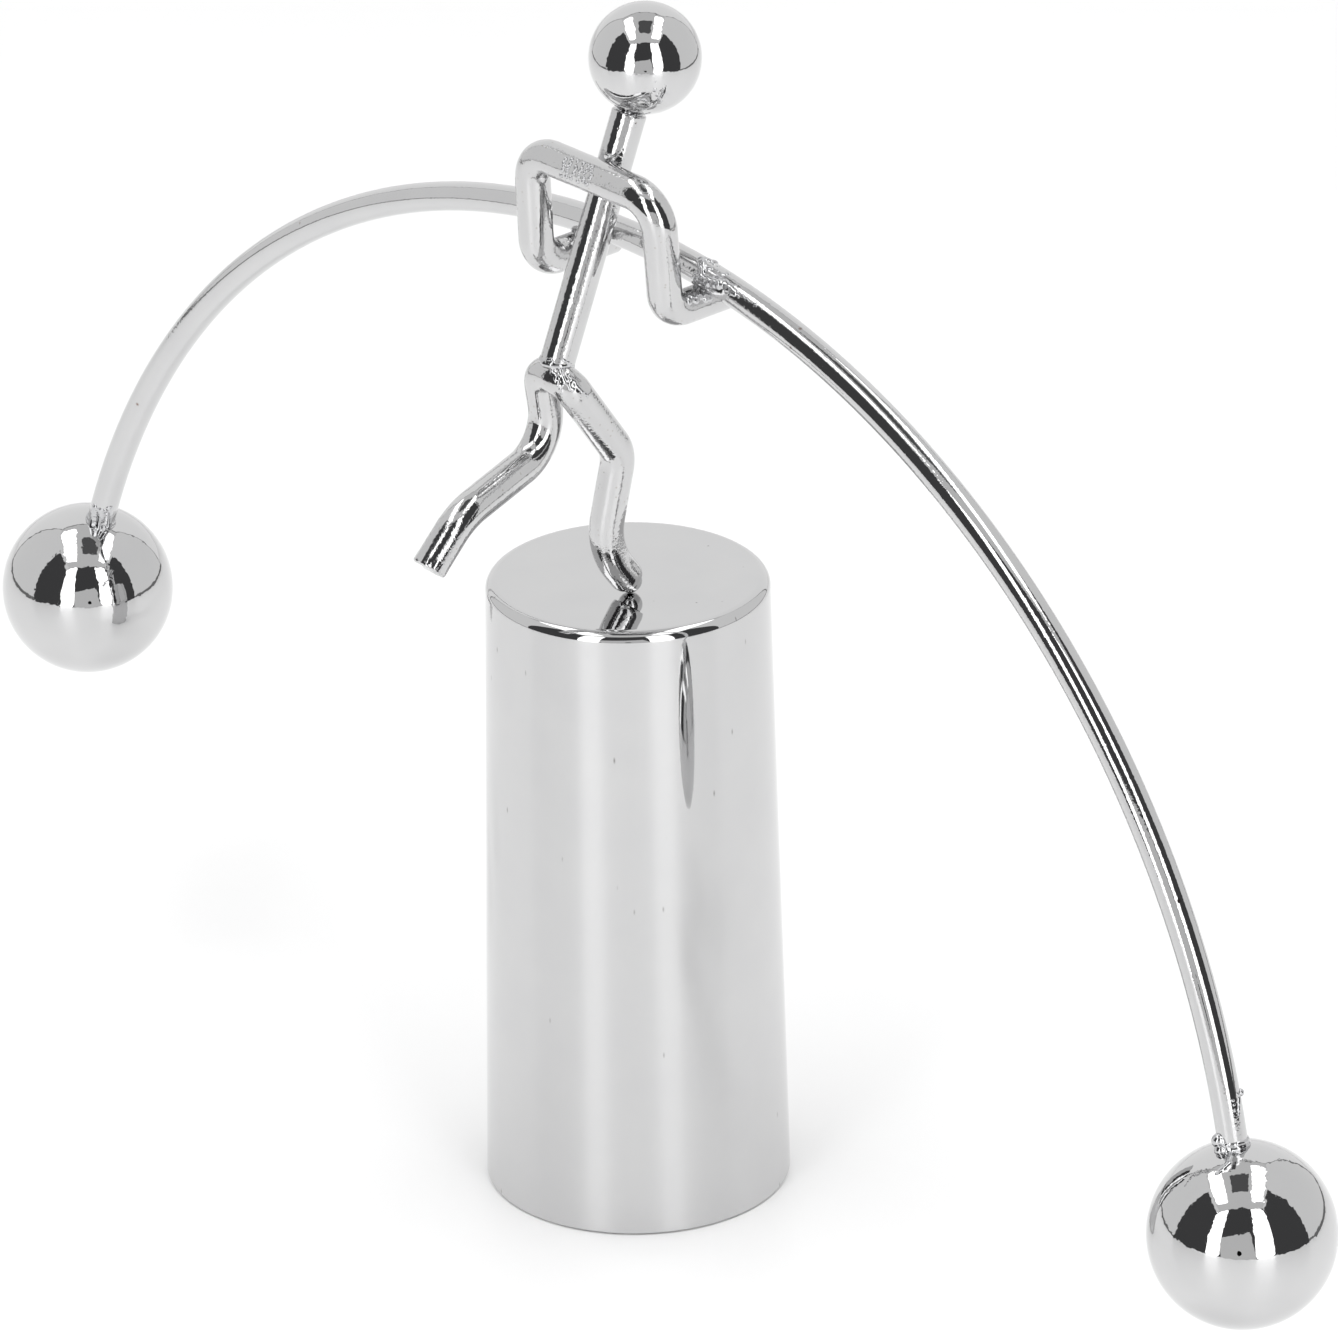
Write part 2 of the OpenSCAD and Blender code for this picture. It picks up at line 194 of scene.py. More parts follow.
# Places of the upright figure
HIP = Vector((-HIP_W / 2, -HIP_BACK, HIP_Z))
TORSO_WAY = Vector((0, math.sin(TORSO_LEAN), math.cos(TORSO_LEAN)))
TORSO_BACK = Vector((0, -math.cos(TORSO_LEAN), math.sin(TORSO_LEAN)))
HEAD = HIP + TORSO_WAY * HEAD_UP
NECK = HIP + TORSO_WAY * (HEAD_UP - HEAD_R)
BAR_MIDDLE = Vector((BAR_X, BAR_Y, BAR_TOP_Z - BAR_R))
SHOULDER_ACROSS = Vector((math.cos(SHOULDER_TILT), 0, math.sin(SHOULDER_TILT)))
SHOULDER_MID = (HIP + TORSO_WAY * SHOULDER_UP + TORSO_BACK * (2 * WIRE_R + WELD_GAP)
                + SHOULDER_ACROSS * ARM_SHIFT / math.cos(SHOULDER_TILT))
ARM_X = HIP.x + ARM_SHIFT
SEAT_R = TOE_BALL_R + 2 * TOE_GAP + TOE_WELD_T


def bar_at(angle):
    """Place on the bar's middle line, at an angle to the right of its top."""
    return BAR_MIDDLE + Vector((math.sin(angle), 0, math.cos(angle))) * BAR_R


def entry_angle(ball_r):
    """Angle from the bar's top at which the bar goes into a counterweight."""
    return BALL_ANGLE - 2 * math.asin(ball_r / 2 / BAR_R)


def end_angle(ball_r):
    """Angle from the bar's top at which the bar ends inside a counterweight."""
    return BALL_ANGLE - (ball_r - BAR_INSERT) / BAR_R


def forearm_z(x):
    """Height of a forearm that carries the bar at the place x."""
    return BAR_MIDDLE.z + math.sqrt(BAR_R ** 2 - (x - BAR_X) ** 2) - BAR_WIRE_R - WIRE_R + HAND_SINK


def leg_points():
    """Corners of the leg wire's middle line, from the toe to the raised foot, in metres."""
    foot_x = -HIP_W + RAISED_FOOT_IN
    places = [PIVOT, (-ANKLE_IN, -ANKLE_BACK, ANKLE_Z), (0, -KNEE_BACK, KNEE_Z), (0, -HIP_BACK, HIP_Z),
              (-HIP_W, -HIP_BACK, HIP_Z), (-HIP_W, -RAISED_KNEE_BACK, RAISED_KNEE_Z),
              (foot_x, -RAISED_ANKLE_BACK, RAISED_ANKLE_Z), (foot_x, -RAISED_TOE_BACK, RAISED_TOE_Z)]
    return [placed(p) for p in places]


def arm_points():
    """Corners of the arm wire's middle line, from hand to hand, in metres."""
    points = []
    for side, elbow_forward in ((1, RIGHT_ELBOW_FORWARD), (-1, LEFT_ELBOW_FORWARD)):
        x = ARM_X + side * FOREARM_W / 2
        shoulder = SHOULDER_MID + SHOULDER_ACROSS * side * SHOULDER_W / 2
        arm = [Vector((x, BAR_Y + HAND_PAST, forearm_z(x))),
               Vector((x, shoulder.y + elbow_forward, forearm_z(x))), shoulder]
        points += arm if side == 1 else reversed(arm)
    return [placed(p) for p in points]


def begin_ring(r, at, along, sides):
    """Starts a piece as an open ring of radius r round the direction along. Lengths in metres."""
    bpy.ops.object.select_all(action="DESELECT")
    bpy.ops.mesh.primitive_circle_add(vertices=sides, radius=r, fill_type="NOTHING", location=at,
                                      rotation=along.to_track_quat("Z", "Y").to_euler())
    bpy.ops.object.mode_set(mode="EDIT")
    bpy.ops.mesh.select_mode(type="VERT")
    bpy.ops.mesh.select_all(action="SELECT")


def pull_ring(move, about=None, ratio=1.0):
    """Extrudes the selected ring by move, and changes its size by ratio about its new middle."""
    bpy.ops.mesh.extrude_region_move(TRANSFORM_OT_translate={"value": move})
    if ratio != 1.0:
        bpy.ops.transform.resize(value=(ratio, ratio, ratio), center_override=about)


def pull_straight(start, end):
    """Draws the selected ring along a straight, with a close loop at each end so that it shades straight."""
    way = (end - start).normalized()
    edge = EDGE_LOOP * MM
    for length in (edge, (end - start).length - 2 * edge, edge):
        pull_ring(way * length)


def follow_outline(outline, at, along):
    """Draws the selected ring through an outline: pairs of way along and radius, in millimetres."""
    for (way, r), (next_way, next_r) in zip(outline, outline[1:]):
        pull_ring(along * (next_way - way) * MM, at + along * next_way * MM, next_r / r)


def finish_mesh(name):
    """Closes the ends of the drawn mesh, turns its faces outwards and puts its place into the mesh."""
    bpy.ops.mesh.select_all(action="SELECT")
    bpy.ops.mesh.remove_doubles(threshold=MERGE_UNDER)
    bpy.ops.mesh.fill_holes(sides=0)
    bpy.ops.mesh.select_all(action="SELECT")
    bpy.ops.mesh.normals_make_consistent(inside=False)
    bpy.ops.object.mode_set(mode="OBJECT")
    bpy.ops.object.transform_apply(location=True, rotation=True, scale=True)
    bpy.ops.object.shade_smooth_by_angle(angle=SMOOTH_ANGLE)
    piece = bpy.context.object
    piece.name = piece.data.name = name
    return piece


def turned_piece(name, outline, at, along, sides):
    """A piece turned round the direction along from its outline, in millimetres, measured from at."""
    begin_ring(outline[0][1] * MM, at + along * outline[0][0] * MM, along, sides)
    follow_outline(outline, at, along)
    return finish_mesh(name)


def arc(middle_way, middle_r, r, start, end, steps):
    """Points of a round stretch of an outline. Angles are in degrees from the way along."""
    angles = [math.radians(start + (end - start) * i / steps) for i in range(steps + 1)]
    return [(middle_way + r * math.cos(a), middle_r + r * math.sin(a)) for a in angles]


def cut_end():
    """Outline of a wire's square-cut end, its edge rounded by the tumbling before plating."""
    edge = arc(-CUT_EDGE_R, WIRE_R - CUT_EDGE_R, CUT_EDGE_R, 90, 0, ARC_STEPS // 2)
    side = [(-END_LENGTH, WIRE_R), (-CUT_EDGE_R - EDGE_LOOP, WIRE_R)]
    return side + edge + [(0, WIRE_R / 2), (0, POLE_R)]


def mirrored_end(outline):
    """The same end for the start of a wire, where the way along runs into the wire."""
    return [(-way, r) for way, r in reversed(outline)]


def bent_wire(name, points, bends, start, finish):
    """Round wire through the points: a ring drawn along the straights and spun round the bends.
    start and finish are the outlines of its two ends."""
    way = (points[1] - points[0]).normalized()
    begin_ring(start[0][1] * MM, points[0] + way * start[0][0] * MM, way, WIRE_SIDES)
    follow_outline(start, points[0], way)
    here = points[0] + way * start[-1][0] * MM
    for a, b, c, bend in zip(points, points[1:], points[2:], bends):
        way = (b - a).normalized()
        next_way = (c - b).normalized()
        turn = way.angle(next_way)
        setback = bend * MM * math.tan(turn / 2)
        bend_start = b - way * setback
        pull_straight(here, bend_start)
        inward = (next_way - way * way.dot(next_way)).normalized()
        bpy.ops.mesh.spin(steps=math.ceil(turn / BEND_STEP), angle=-turn,
                          center=bend_start + inward * bend * MM, axis=way.cross(next_way).normalized())
        here = b + next_way * setback
        way = next_way
    pull_straight(here, points[-1] + way * finish[0][0] * MM)
    follow_outline(finish, points[-1], way)
    return finish_mesh(name)


def tear_end(wire, end):
    """Makes a cut end ragged, as cutters leave it when they tear the wire."""
    rim = wire.vertex_groups.new(name="torn_rim")
    rim.add([v.index for v in wire.data.vertices if (v.co - end).length < TORN_REACH * MM], 1.0, "REPLACE")
    grain = bpy.data.textures.new("torn_grain", "CLOUDS")
    grain.noise_scale = TORN_GRAIN * MM
    torn = wire.modifiers.new("torn", "DISPLACE")
    torn.texture = grain
    torn.vertex_group = rim.name
    torn.strength = TORN_DEPTH * MM
    bpy.ops.object.modifier_apply(modifier=torn.name)


def seated(piece, finish, body, slot, *nodes):
    """Gives a piece its finish and lets it stand for its nodes on the body that carries it."""
    piece.data.materials.append(finish)
    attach(piece, body)
    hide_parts(*nodes)


def stand():
    """Tapered stand: inner wall, foot edge, outer wall, rounded rim and flat mirror top in one outline."""
    slope = (STAND_BASE_D - STAND_TOP_D) / 2 / (STAND_H - PAD_PROUD)
    slant = math.degrees(math.atan(slope))
    inner_top = STAND_H - STAND_TOP_T
    back = RIM_R * math.tan(math.radians(45 - slant / 2))
    rim_middle = STAND_TOP_D / 2 - back

    def wall_r(z):
        return STAND_BASE_D / 2 - slope * (z - PAD_PROUD)

    foot_z = PAD_PROUD + FOOT_EDGE_R
    foot = arc(foot_z, wall_r(foot_z) - FOOT_EDGE_R, FOOT_EDGE_R, 180, 90, ARC_STEPS // 2)
    rim = arc(STAND_H - RIM_R, rim_middle, RIM_R, 90 - slant, 0, 2 * ARC_STEPS)
    wall_top = rim[0][0] - EDGE_LOOP
    outline = [(inner_top, POLE_R), (inner_top, wall_r(inner_top) - STAND_WALL)]
    outline += [(PAD_PROUD, wall_r(PAD_PROUD) - STAND_WALL)] + foot
    outline += [(foot_z + EDGE_LOOP, wall_r(foot_z + EDGE_LOOP)), (wall_top, wall_r(wall_top))] + rim
    outline += [(STAND_H, rim_middle - EDGE_LOOP), (STAND_H, rim_middle / 2), (STAND_H, POLE_R)]
    return turned_piece("mirror_stand", outline, Vector((0, 0, 0)), UP, STAND_SIDES)


def leg():
    """Planted foot, rounded over its seat for the toe ball, both legs and the raised foot's cut end."""
    meet = (SEAT_R ** 2 - WIRE_R ** 2 + FOOT_ROUND ** 2) / (2 * FOOT_ROUND)
    seat = arc(0, 0, SEAT_R, POLE_ANGLE, math.degrees(math.acos(meet / SEAT_R)), ARC_STEPS)
    tip = arc(FOOT_ROUND, 0, WIRE_R, math.degrees(math.acos((meet - FOOT_ROUND) / WIRE_R)), 90, ARC_STEPS)
    bends = [ANKLE_BEND, KNEE_BEND, HIP_BEND, HIP_BEND, RAISED_KNEE_BEND, RAISED_ANKLE_BEND]
    points = leg_points()
    wire = bent_wire("leg_wire", points, bends, seat + tip[1:], cut_end())
    tear_end(wire, points[-1])
    return wire


def torso():
    """Square-cut rod on top of the hip. Its upper end is turned down to a peg that goes into the head."""
    neck_up = HEAD_UP - HEAD_R
    outline = [(TORSO_FOOT + way, r) for way, r in mirrored_end(cut_end())]
    outline += [(neck_up + way, r) for way, r in cut_end() if r > NECK_PEG_R] + [(neck_up, NECK_PEG_R)]
    outline += [(neck_up + NECK_INSERT, NECK_PEG_R), (neck_up + NECK_INSERT, POLE_R)]
    return turned_piece("torso_wire", outline, placed(HIP), turned_way(TORSO_WAY), WIRE_SIDES)


def arms():
    """Both arms and the shoulders, one wire with a cut end at each hand."""
    bends = [ELBOW_BEND, SHOULDER_BEND, SHOULDER_BEND, ELBOW_BEND]
    return bent_wire("arm_wire", arm_points(), bends, mirrored_end(cut_end()), cut_end())


def bar():
    """Arched bar: one ring spun round the middle of the arch from ball to ball."""
    left, right = -end_angle(LEFT_BALL_R), end_angle(RIGHT_BALL_R)
    along = turned_way((math.cos(left), 0, -math.sin(left)))
    begin_ring(BAR_WIRE_R * MM, placed(bar_at(left)), along, WIRE_SIDES)
    bpy.ops.mesh.spin(steps=BAR_STEPS, angle=left - right, center=placed(BAR_MIDDLE),
                      axis=turned_way((0, 1, 0)))
    return finish_mesh("arched_bar")


def bored_ball(name, ball_r, bore_r, depth, at, bore_way):
    """A ball with the hole that its wire goes into. bore_way points from its middle to the mouth."""
    mouth = math.degrees(math.asin(bore_r / ball_r))
    outline = [(ball_r - depth, POLE_R), (ball_r - depth, bore_r)]
    outline += arc(0, 0, ball_r, mouth, 180 - math.degrees(POLE_R / ball_r), BALL_STEPS)
    return turned_piece(name, outline, at, bore_way, BALL_SIDES)


def head():
    """Ball with a hole for the torso's peg."""
    return bored_ball("head", HEAD_R, NECK_PEG_R + BORE_GAP, NECK_INSERT + BORE_GAP, placed(HEAD),
                      turned_way(-TORSO_WAY))


def counterweight(name, ball_r, side):
    """Ball with a hole for the bar's end."""
    entry = bar_at(side * entry_angle(ball_r))
    middle = bar_at(side * BALL_ANGLE)
    return bored_ball(name, ball_r, BAR_WIRE_R + BORE_GAP, BAR_INSERT + BORE_GAP, placed(middle),
                      turned_way((entry - middle).normalized()))


def toe_ball():
    """Ball of the toe, with the small flat that it wears where it stands on the mirror top."""
    outline = arc(0, 0, TOE_BALL_R, TOE_WORN_ANGLE, 180 - POLE_ANGLE, BALL_STEPS // 2)
    first = [(outline[0][0], POLE_R)]
    return turned_piece("toe_ball_point", first + outline, TOE, -UP, WIRE_SIDES)


def toe_cup():
    """Cup of weld between the toe ball and the seat in the leg wire."""
    inner, outer = TOE_BALL_R + TOE_GAP, TOE_BALL_R + TOE_GAP + TOE_WELD_T
    outline = arc(0, 0, inner, POLE_ANGLE, CUP_ANGLE - CUP_LIP_ANGLE, ARC_STEPS)
    outline += arc(0, 0, outer, CUP_ANGLE, POLE_ANGLE, ARC_STEPS)
    points = leg_points()
    return turned_piece("toe_cup_weld", outline, TOE, (points[1] - points[0]).normalized(), WIRE_SIDES)


# Runs of weld drops. A run has its first and last place as the camera sees them, in millimetres to the right
# of a joint and up from it, then the number of drops, how far they stray, their first and last radius, and
# how proud they stand of the piece that they fell on
HIP_ON_LEG = (((-0.1, 0.5), (0.85, -1.6), 10, 0.12, 0.45, 0.35, 0.08),
              ((0.7, 0.4), (1.75, -1.5), 10, 0.12, 0.45, 0.35, 0.08),
              ((1.6, -0.2), (3.2, -2.1), 9, 0.12, 0.45, 0.35, 0.08))
HIP_ON_TORSO = (((-0.5, 1.5), (0.0, 1.3), 3, 0.06, 0.3, 0.26, 0.08),
                ((0.9, 1.3), (1.7, 1.0), 4, 0.06, 0.3, 0.26, 0.08))
NECK_ON_HEAD = (((0.1, 0.45), (1.9, -0.35), 8, 0.12, 0.45, 0.35, 0.07),
                ((1.0, 0.85), (2.0, 0.3), 5, 0.12, 0.45, 0.35, 0.07),
                ((2.3, 1.5), (3.0, 0.6), 4, 0.12, 0.45, 0.35, 0.07))
HAND_CREST = (((-0.15, 2.2), (-0.1, 1.0), 6, 0.05, 0.5, 0.45, 0.3),
              ((0.1, 2.3), (1.2, 1.9), 6, 0.06, 0.4, 0.35, 0.2),
              ((0.2, 1.6), (2.7, 0.7), 16, 0.35, 0.3, 0.25, 0.08))
HAND_WEB = (((-0.5, 0.6), (1.3, -0.3), 7, 0.25, 0.6, 0.5, 0.4),)
HAND_ON_ARM = (((-1.5, -1.6), (0.7, -1.2), 8, 0.2, 0.5, 0.45, 0.25),)
HAND_TAIL = (((1.0, 0.2), (3.0, -1.0), 10, 0.12, 0.8, 0.5, 0.15),
             ((3.0, -1.2), (5.0, -2.4), 12, 0.2, 0.25, 0.2, 0.06))
LEFT_RIDGES = (((-0.5, 1.3), (-0.95, -0.5), 16, 0.02, 0.45, 0.45, 0.22),
               ((0.2, 0.9), (-0.1, -0.9), 16, 0.02, 0.45, 0.45, 0.22),
               ((1.1, 1.1), (0.9, -0.6), 16, 0.02, 0.45, 0.45, 0.22))
BURR_ON_BAR = (((1.2, 0.0), (1.3, -1.7), 8, 0.1, 0.34, 0.25, 0.12),
               ((0.5, -0.4), (0.9, -1.4), 6, 0.15, 0.24, 0.2, 0.06))

# Single drops, each with its place as the camera sees it and its radius
LEFT_HAND_CURL = (((0.2, -0.1), 0.8), ((-0.45, 0.1), 0.62), ((-0.95, 0.32), 0.5), ((-1.0, 0.05), 0.42))
DOUBLE_BEAD = (((-1.3, 0.4), 0.75), ((-0.75, 0.5), 0.7), ((-1.15, -0.5), 0.66), ((-0.6, -0.55), 0.64))
DOUBLE_BEAD_NEAR = 0.75

# Rows of tool marks on the shoulder, along the arm wire and aside across it as the camera sees it
TOOL_ROWS = 5
TOOL_ROW_GAP = 0.42
TOOL_ASIDE = (0.35, 0.94)
TOOL_FROM = (-3.3, 0.6)
TOOL_TO = (-0.8, -0.35)

# Rings of a counterweight's collar: height over the mouth of its hole, and share of the drops' radius
COLLAR_RINGS = ((-0.05, 1.0), (0.4, 0.8))
BURR_UP = 4.8
DROP_SPREAD = (0.94, 1.06)
HIP_DROP_SPREAD = (0.9, 1.1)
DROP_FROM = 50.0
WELD_GRAIN = 0.6
WELD_CHANCE = 11


def ring_of_drops(middle, along, chance, ring_r, count, drop_r, uneven=0.05):
    """Drops of weld that ran together round a wire, as places in metres and radii in millimetres."""
    side = along.orthogonal().normalized()
    drops = []
    for i in range(count):
        way = Matrix.Rotation(math.tau * i / count, 3, along) @ side
        at = middle + way * ring_r + along * chance.uniform(-uneven, uneven)
        drops.append((placed(at), drop_r * chance.uniform(*DROP_SPREAD)))
    return drops


def marks(start, end, count, shake, chance):
    """A run of places as the camera sees them: millimetres to the right of a joint and up from it."""
    places = []
    for i in range(count):
        share = i / (count - 1)
        places.append([a + (b - a) * share + chance.uniform(-shake, shake) for a, b in zip(start, end)])
    return places


def landed(pieces, joint, places, first_r, last_r, proud):
    """Drops that fell on the pieces from the camera's side and stand proud of them."""
    drops = []
    for i, (right, up) in enumerate(places):
        r = first_r + (last_r - first_r) * i / len(places)
        start = placed(joint) + (TO_RIGHT * right + SEEN_UP * up) * MM + SEEN_FROM * (DROP_FROM * MM)
        falls = [piece.ray_cast(start, -SEEN_FROM) for piece in pieces]
        falls = [(place, facing) for hit, place, facing, face in falls if hit]
        if falls:
            place, facing = max(falls, key=lambda fall: fall[0].dot(SEEN_FROM))
            drops.append((place + facing * (proud - r) * MM, r))
    return drops


def landed_runs(pieces, joint, runs, chance):
    """Drops of several runs that fell on the pieces near a joint."""
    drops = []
    for start, end, count, shake, first_r, last_r, proud in runs:
        drops += landed(pieces, joint, marks(start, end, count, shake, chance), first_r, last_r, proud)
    return drops


def weld(name, drops, skin=0.08, ease=5, ripple=0.03):
    """Drops that ran together: balls joined, made one skin, eased and roughened."""
    bpy.ops.object.select_all(action="DESELECT")
    balls = []
    for at, r in drops:
        bpy.ops.mesh.primitive_ico_sphere_add(subdivisions=3, radius=r * MM, location=at)
        balls.append(bpy.context.object)
    for ball in balls:
        ball.select_set(True)
    bpy.ops.object.join()
    bpy.ops.object.transform_apply(location=True, rotation=True, scale=True)
    piece = bpy.context.object
    remesh = piece.modifiers.new("one_skin", "REMESH")
    remesh.mode = "VOXEL"
    remesh.voxel_size = skin * MM
    bpy.ops.object.modifier_apply(modifier=remesh.name)
    eased = piece.modifiers.new("eased", "SMOOTH")
    eased.factor = 0.5
    eased.iterations = ease
    bpy.ops.object.modifier_apply(modifier=eased.name)
    grain = bpy.data.textures.new(name + "_grain", "CLOUDS")
    grain.noise_scale = WELD_GRAIN * MM
    rough = piece.modifiers.new("rough", "DISPLACE")
    rough.texture = grain
    rough.strength = ripple * MM
    bpy.ops.object.modifier_apply(modifier=rough.name)
    bpy.ops.object.shade_smooth()
    piece.name = piece.data.name = name
    return piece


def neck_drops(torso_wire, head_ball, chance):
    """Ring of weld deep in the gap under the head, a bead on its near side and low spatter on the head."""
    drops = ring_of_drops(NECK, TORSO_WAY, chance, ring_r=NECK_PEG_R + 0.15, count=36, drop_r=0.16)
    bead = [(0.0, -0.05), (0.15, -0.3), (0.3, -0.45)]
    drops += landed([torso_wire], NECK, bead, first_r=0.3, last_r=0.26, proud=0.12)
    drops += landed_runs([head_ball], NECK, NECK_ON_HEAD, chance)
    drops += landed([head_ball], NECK, [(2.45, 2.35)], first_r=0.2, last_r=0.2, proud=0.05)
    return drops


def shoulder_drops(arm_wire, chance):
    """Crease of weld where the arm wire crosses the torso, and the marks of a tool on the arm wire."""
    touch = HIP + TORSO_WAY * SHOULDER_UP + TORSO_BACK * WIRE_R
    drops = ring_of_drops(touch, TORSO_BACK, chance, ring_r=1.0, count=24, drop_r=0.34)
    for row in range(TOOL_ROWS):
        aside = TOOL_ROW_GAP * (row - TOOL_ROWS // 2)
        first, last = [[a + b * aside for a, b in zip(place, TOOL_ASIDE)] for place in (TOOL_FROM, TOOL_TO)]
        dents = marks(first, last, count=6, shake=0.12, chance=chance)
        drops += landed([arm_wire], touch, dents, first_r=0.27, last_r=0.25, proud=0.19)
    return drops


def hip_drops(leg_wire, torso_wire, chance):
    """Weld that fills the corner between the torso's cut end and the hip, and low spatter on the hip."""
    drops = []
    count = 48
    ring_r = WIRE_R - 0.3
    for i in range(count):
        turn = math.tau * i / count
        side = Vector((math.cos(turn), 0, 0)) + TORSO_BACK * math.sin(turn)
        hip_top = math.sqrt(WIRE_R ** 2 - (ring_r * math.sin(turn)) ** 2)
        at = HIP + side * ring_r + TORSO_WAY * (TORSO_FOOT + hip_top) / 2
        drop_r = 0.32 + 0.1 * abs(math.sin(turn))
        drops.append((placed(at), drop_r * chance.uniform(*HIP_DROP_SPREAD)))
    drops += landed_runs([leg_wire], HIP, HIP_ON_LEG, chance)
    drops += landed_runs([torso_wire], HIP, HIP_ON_TORSO, chance)
    return drops


def hand_place(side):
    """Place where a forearm carries the bar."""
    x = ARM_X + side * FOREARM_W / 2
    return Vector((x, BAR_Y, forearm_z(x) + WIRE_R))


def right_hand_drops(arm_wire, arched_bar, chance):
    """A broad web of weld over the bar's near side and the top of the forearm, with a tail along the bar."""
    joint = hand_place(1)
    drops = [(placed(joint + Vector((0.3, -0.2, 0.1))), 0.9)]
    for pieces, runs in (([arched_bar], HAND_CREST), ([arm_wire, arched_bar], HAND_WEB),
                         ([arm_wire], HAND_ON_ARM), ([arched_bar], HAND_TAIL)):
        drops += landed_runs(pieces, joint, runs, chance)
    return drops


def left_hand_drops():
    """A small curl of weld in the corner between the forearm and the bar."""
    joint = placed(hand_place(-1))
    return [(joint + (TO_RIGHT * right + SEEN_UP * up) * MM, r) for (right, up), r in LEFT_HAND_CURL]


def collar_ring(side, ball_r, drop_r, chance):
    """Even collar of weld where the bar goes into a counterweight."""
    angle = side * entry_angle(ball_r)
    up = Vector((-side * math.cos(angle), 0, side * math.sin(angle)))
    drops = []
    for height, share in COLLAR_RINGS:
        drops += ring_of_drops(bar_at(angle) + up * height, up, chance, ring_r=BAR_WIRE_R - 0.12, count=60,
                               drop_r=drop_r * share, uneven=0.03)
    return drops


def left_collar_drops(ball, arched_bar, chance):
    """Smooth flared collar with ridges that run down from the bar to the ball."""
    drops = collar_ring(-1, LEFT_BALL_R, 0.3, chance)
    drops += landed_runs([arched_bar, ball], bar_at(-entry_angle(LEFT_BALL_R)), LEFT_RIDGES, chance)
    return drops


def right_collar_drops(ball, arched_bar, chance):
    """Collar with a double bead on its left, a drip down the ball and a burr further up the bar."""
    joint = bar_at(entry_angle(RIGHT_BALL_R))
    drops = collar_ring(1, RIGHT_BALL_R, 0.34, chance)
    for (right, up), r in DOUBLE_BEAD:
        seen = TO_RIGHT * right + SEEN_UP * up + SEEN_FROM * DOUBLE_BEAD_NEAR
        drops.append((placed(joint) + seen * MM, r))
    drip = marks((-0.3, -0.7), (-0.6, -1.5), count=6, shake=0.03, chance=chance)
    drip += marks((-0.7, -1.6), (-1.7, -2.45), count=9, shake=0.03, chance=chance)
    drops += landed([ball, arched_bar], joint, drip, first_r=0.42, last_r=0.28, proud=0.16)
    burr = bar_at(entry_angle(RIGHT_BALL_R) - BURR_UP / BAR_R)
    drops.append((placed(burr) + (TO_RIGHT * (BAR_WIRE_R - 0.05) + SEEN_UP * 0.2) * MM, 0.4))
    drops += landed_runs([arched_bar], burr, BURR_ON_BAR, chance)
    return drops


def linear(code):
    """Linear colour of an sRGB hex value."""
    parts = [int(code[i:i + 2], 16) / 255 for i in (1, 3, 5)]
    return [p / 12.92 if p <= 0.04045 else ((p + 0.055) / 1.055) ** 2.4 for p in parts] + [1.0]


def per_mm(size):
    """Texture scale at which a pattern repeats about every size millimetres."""
    return 1 / (size * MM)


def add(tree, kind, sockets=None, **settings):
    """Adds a node with its settings; a socket is given a value or another node's output."""
    made = tree.nodes.new(kind)
    for name, value in settings.items():
        setattr(made, name, value)
    for name, value in (sockets or {}).items():
        if isinstance(value, bpy.types.NodeSocket):
            tree.links.new(value, made.inputs[name])
        else:
            made.inputs[name].default_value = value
    return made


def new_finish(name):
    """An empty material and its node tree."""
    finish = bpy.data.materials.new(name)
    finish.use_nodes = True
    finish.node_tree.nodes.clear()
    return finish, finish.node_tree


# Plating: size of its patches, share of the cells that hold a pit, where in the patches' pattern the
# orange peel and the haze set in, and how much of the peel is left between the patches
PATCH = 5.0
PIT_SHARE = 0.3
PEEL_FROM, PEEL_TO = 0.4, 0.6
HAZE_FROM, HAZE_TO = 0.3, 0.75
CALM_PEEL = 0.25
MICROMETRE = MM * MM


